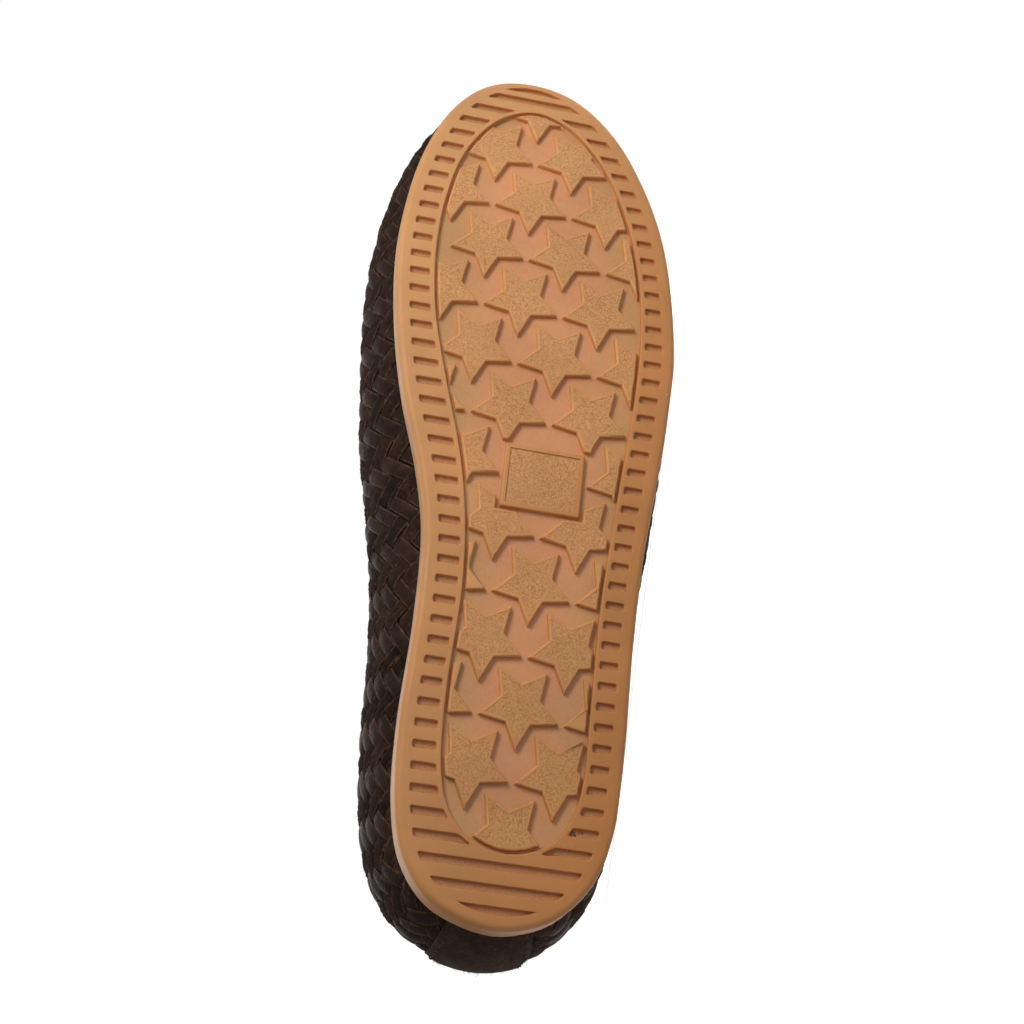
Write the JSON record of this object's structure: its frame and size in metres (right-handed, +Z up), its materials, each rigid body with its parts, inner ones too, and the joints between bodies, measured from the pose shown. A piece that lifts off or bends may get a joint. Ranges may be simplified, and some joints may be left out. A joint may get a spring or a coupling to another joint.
{
  "type": "boat shoe",
  "caption": "Low boat shoe for the left foot with a woven leather upper and a gum rubber star-tread sole, lying on its outer side with the tread showing.",
  "frame": {"origin": "middle of the shoe's box on the floor it lies on, at the lowest point of the sole's outer edge and of the upper", "axes": "+X from heel to toe, +Z up from the floor, -Y out of the tread; the shoe lies on its outer side, turned about X until the sole's edge and the upper both touch the floor"},
  "size_m": [0.2658, 0.0804, 0.094],
  "materials": {
    "gum_rubber": "matte",
    "woven_leather": "satin",
    "suede": "matte",
    "lining": "matte",
    "lace": "satin",
    "brass": "satin"
  },
  "bodies": {
    "root": {"outsole": "gum_rubber", "upper": "woven_leather", "heel_strip": "suede", "insole": "lining", "tongue": "suede", "eyelet_lower_inner": "brass", "eyelet_lower_outer": "brass", "eyelet_upper_inner": "brass", "eyelet_upper_outer": "brass", "lace_lower": "lace", "lace_upper": "lace"}
  },
  "joints": []
}
